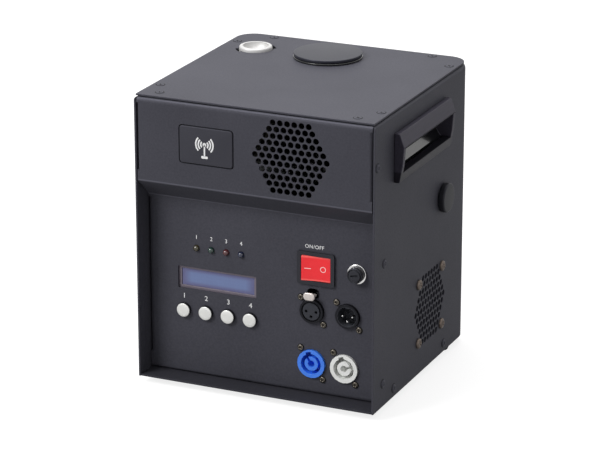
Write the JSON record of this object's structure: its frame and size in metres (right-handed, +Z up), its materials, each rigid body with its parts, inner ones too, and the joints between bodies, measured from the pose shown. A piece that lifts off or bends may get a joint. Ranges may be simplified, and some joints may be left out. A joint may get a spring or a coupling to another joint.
{
  "type": "cold spark machine",
  "caption": "Sheet metal effect machine with a recessed control panel, granule hopper, feed screw, blower, heated chamber and spark nozzle on top.",
  "frame": {"origin": "middle of the footprint, on the ground that the feet stand on", "axes": "+Z up, +Y from the control panel to the back, +X to the right as seen from the front"},
  "size_m": [0.221, 0.2035, 0.2486],
  "materials": {
    "case_paint": "fine textured powder coat",
    "foot_rubber": "matt",
    "hopper_plastic": "matt",
    "black_plastic": "satin",
    "gloss_black": "gloss",
    "bright_steel": "polished",
    "raw_steel": "turned",
    "fibre_sleeve": "woven glass fibre",
    "cast_aluminium": "cast, satin",
    "motor_black": "satin black",
    "zinc_sheet": "zinc plated",
    "pad_plastic": "matt",
    "circuit_board": "solder mask",
    "display_glass": "dark blue, gloss",
    "lamp_amber": "tinted lens",
    "lamp_green": "tinted lens",
    "lamp_red": "tinted lens",
    "lamp_blue": "tinted lens",
    "red_plastic": "gloss",
    "satin_silver": "satin",
    "satin_silver_cap": "metallised, satin",
    "blue_plastic": "gloss",
    "pale_plastic": "gloss",
    "nickel": "nickel plated"
  },
  "bodies": {
    "case": {"wrap_shell": "case_paint", "base_tray": "case_paint", "front_panel": "case_paint", "top_plate": "case_paint", "foot_front_left": "foot_rubber", "foot_front_right": "foot_rubber", "foot_rear_left": "foot_rubber", "foot_rear_right": "foot_rubber", "hopper": "hopper_plastic", "nozzle_cup": "bright_steel", "heating_chamber": "raw_steel", "insulation_sleeve": "fibre_sleeve", "feed_housing": "cast_aluminium", "feed_motor": "motor_black", "blower_housing": "black_plastic", "blower_motor": "cast_aluminium", "frame_plate": "zinc_sheet", "handle_right": "gloss_black", "handle_left": "gloss_black", "knob_bush": "zinc_sheet", "cooling_fan_frame": "black_plastic", "card_reader_pad": "pad_plastic", "card_reader_board": "circuit_board", "display_bezel": "zinc_sheet", "display_glass": "display_glass", "display_board": "circuit_board", "lamp_amber": "lamp_amber", "lamp_green": "lamp_green", "lamp_red": "lamp_red", "lamp_blue": "lamp_blue", "switch_housing": "gloss_black", "fuse_holder": "bright_steel", "signal_out_socket": "black_plastic", "signal_in_socket": "black_plastic", "power_in_socket": "blue_plastic", "power_out_socket": "pale_plastic", "power_supply": "cast_aluminium", "control_board": "circuit_board", "fan_screw_1": "nickel", "fan_screw_2": "nickel", "fan_screw_3": "nickel", "fan_screw_4": "nickel", "signal_in_pin_1": "satin_silver", "signal_in_pin_2": "satin_silver", "signal_in_pin_3": "satin_silver"},
    "lid": {"hopper_lid": "black_plastic"},
    "rocker": {"switch_rocker": "red_plastic"},
    "fuse_cap": {"fuse_cap": "black_plastic"},
    "knob": {"side_knob": "gloss_black"},
    "cooling_fan": {"cooling_fan_rotor": "black_plastic"},
    "impeller": {"blower_impeller": "black_plastic"},
    "feed_screw": {"feed_auger": "raw_steel"},
    "latch": {"signal_out_latch": "satin_silver"},
    "key_1": {"key_1": "satin_silver_cap"},
    "key_2": {"key_2": "satin_silver_cap"},
    "key_3": {"key_3": "satin_silver_cap"},
    "key_4": {"key_4": "satin_silver_cap"}
  },
  "joints": [
    {"name": "lid_lift", "type": "slide", "parent": "case", "child": "lid", "axis": [0, 0, 1], "range_m": [0, 0.03]},
    {"name": "rocker_tip", "type": "hinge", "parent": "case", "child": "rocker", "pos_m": [0.0458, -0.082, 0.1132], "axis": [0, 0, -1], "range_deg": [0, 14]},
    {"name": "fuse_cap_turn", "type": "hinge", "parent": "case", "child": "fuse_cap", "pos_m": [0.0804, -0.085, 0.1138], "axis": [0, -1, 0], "range_deg": [0, 90]},
    {"name": "knob_turn", "type": "hinge", "parent": "case", "child": "knob", "pos_m": [0.105, 0.0415, 0.1415], "axis": [1, 0, 0], "continuous": true},
    {"name": "cooling_fan_spin", "type": "hinge", "parent": "case", "child": "cooling_fan", "pos_m": [0.09, 0.016, 0.0582], "axis": [1, 0, 0], "continuous": true},
    {"name": "blower_spin", "type": "hinge", "parent": "case", "child": "impeller", "pos_m": [-0.05, 0.057, 0.06], "axis": [0, 1, 0], "continuous": true},
    {"name": "feed_screw_spin", "type": "hinge", "parent": "case", "child": "feed_screw", "pos_m": [0, 0.057, 0.135], "axis": [1, 0, 0], "continuous": true},
    {"name": "latch_press", "type": "slide", "parent": "case", "child": "latch", "axis": [0, 1, 0], "range_m": [0, 0.001], "stiffness_N_per_m": 600, "springref_m": -0.001},
    {"name": "key_1_press", "type": "slide", "parent": "case", "child": "key_1", "axis": [0, 1, 0], "range_m": [0, 0.0008], "stiffness_N_per_m": 600, "springref_m": -0.0008},
    {"name": "key_2_press", "type": "slide", "parent": "case", "child": "key_2", "axis": [0, 1, 0], "range_m": [0, 0.0008], "stiffness_N_per_m": 600, "springref_m": -0.0008},
    {"name": "key_3_press", "type": "slide", "parent": "case", "child": "key_3", "axis": [0, 1, 0], "range_m": [0, 0.0008], "stiffness_N_per_m": 600, "springref_m": -0.0008},
    {"name": "key_4_press", "type": "slide", "parent": "case", "child": "key_4", "axis": [0, 1, 0], "range_m": [0, 0.0008], "stiffness_N_per_m": 600, "springref_m": -0.0008}
  ]
}
